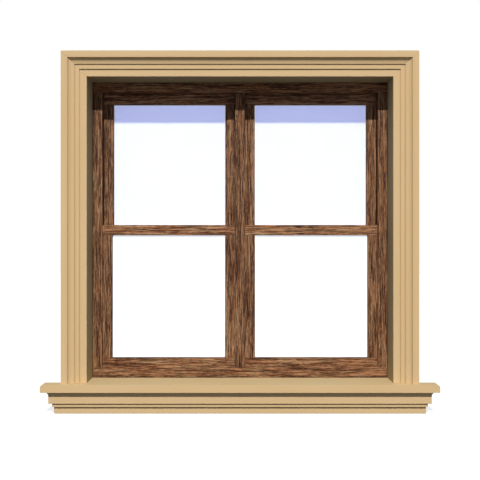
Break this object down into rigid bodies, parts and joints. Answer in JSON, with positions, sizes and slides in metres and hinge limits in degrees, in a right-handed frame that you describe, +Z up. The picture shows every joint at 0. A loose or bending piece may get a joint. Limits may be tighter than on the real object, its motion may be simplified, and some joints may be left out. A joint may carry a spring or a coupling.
{
  "type": "window surround with sash window",
  "caption": "Moulded window surround: mitred casing, sill with rounded nose, stepped apron and reveal linings, with a timber sash window of side-by-side lights whose lower sashes slide up.",
  "frame": {"origin": "middle of the apron's back face, on the face of the wall", "axes": "+X along the sill to the right as seen from outside, +Y into the wall, +Z up"},
  "size_m": [1.5454, 0.2379, 1.4144],
  "materials": {
    "painted_timber": "tan masonry-coloured paint, smooth and matt",
    "stained_timber": "dark brown stain over open grain, satin",
    "glass": "clear polished panes"
  },
  "bodies": {
    "surround": {"apron": "painted_timber", "frame_foot_rail": "stained_timber", "frame_head": "stained_timber", "head_casing": "painted_timber", "head_lining": "painted_timber", "left_casing": "painted_timber", "left_jamb": "stained_timber", "left_lining": "painted_timber", "left_upper_left_stile": "stained_timber", "left_upper_meeting_rail": "stained_timber", "left_upper_pane": "glass", "left_upper_right_stile": "stained_timber", "left_upper_top_rail": "stained_timber", "mullion": "stained_timber", "right_casing": "painted_timber", "right_jamb": "stained_timber", "right_lining": "painted_timber", "right_upper_left_stile": "stained_timber", "right_upper_meeting_rail": "stained_timber", "right_upper_pane": "glass", "right_upper_right_stile": "stained_timber", "right_upper_top_rail": "stained_timber", "sill": "painted_timber"},
    "left_lower_sash": {"left_lower_bottom_rail": "stained_timber", "left_lower_left_stile": "stained_timber", "left_lower_meeting_rail": "stained_timber", "left_lower_pane": "glass", "left_lower_right_stile": "stained_timber"},
    "right_lower_sash": {"right_lower_bottom_rail": "stained_timber", "right_lower_left_stile": "stained_timber", "right_lower_meeting_rail": "stained_timber", "right_lower_pane": "glass", "right_lower_right_stile": "stained_timber"}
  },
  "joints": [
    {"name": "left_lower_sash_slide", "type": "slide", "parent": "surround", "child": "left_lower_sash", "axis": [0, 0, 1], "range_m": [0, 0.5]},
    {"name": "right_lower_sash_slide", "type": "slide", "parent": "surround", "child": "right_lower_sash", "axis": [0, 0, 1], "range_m": [0, 0.5]}
  ]
}
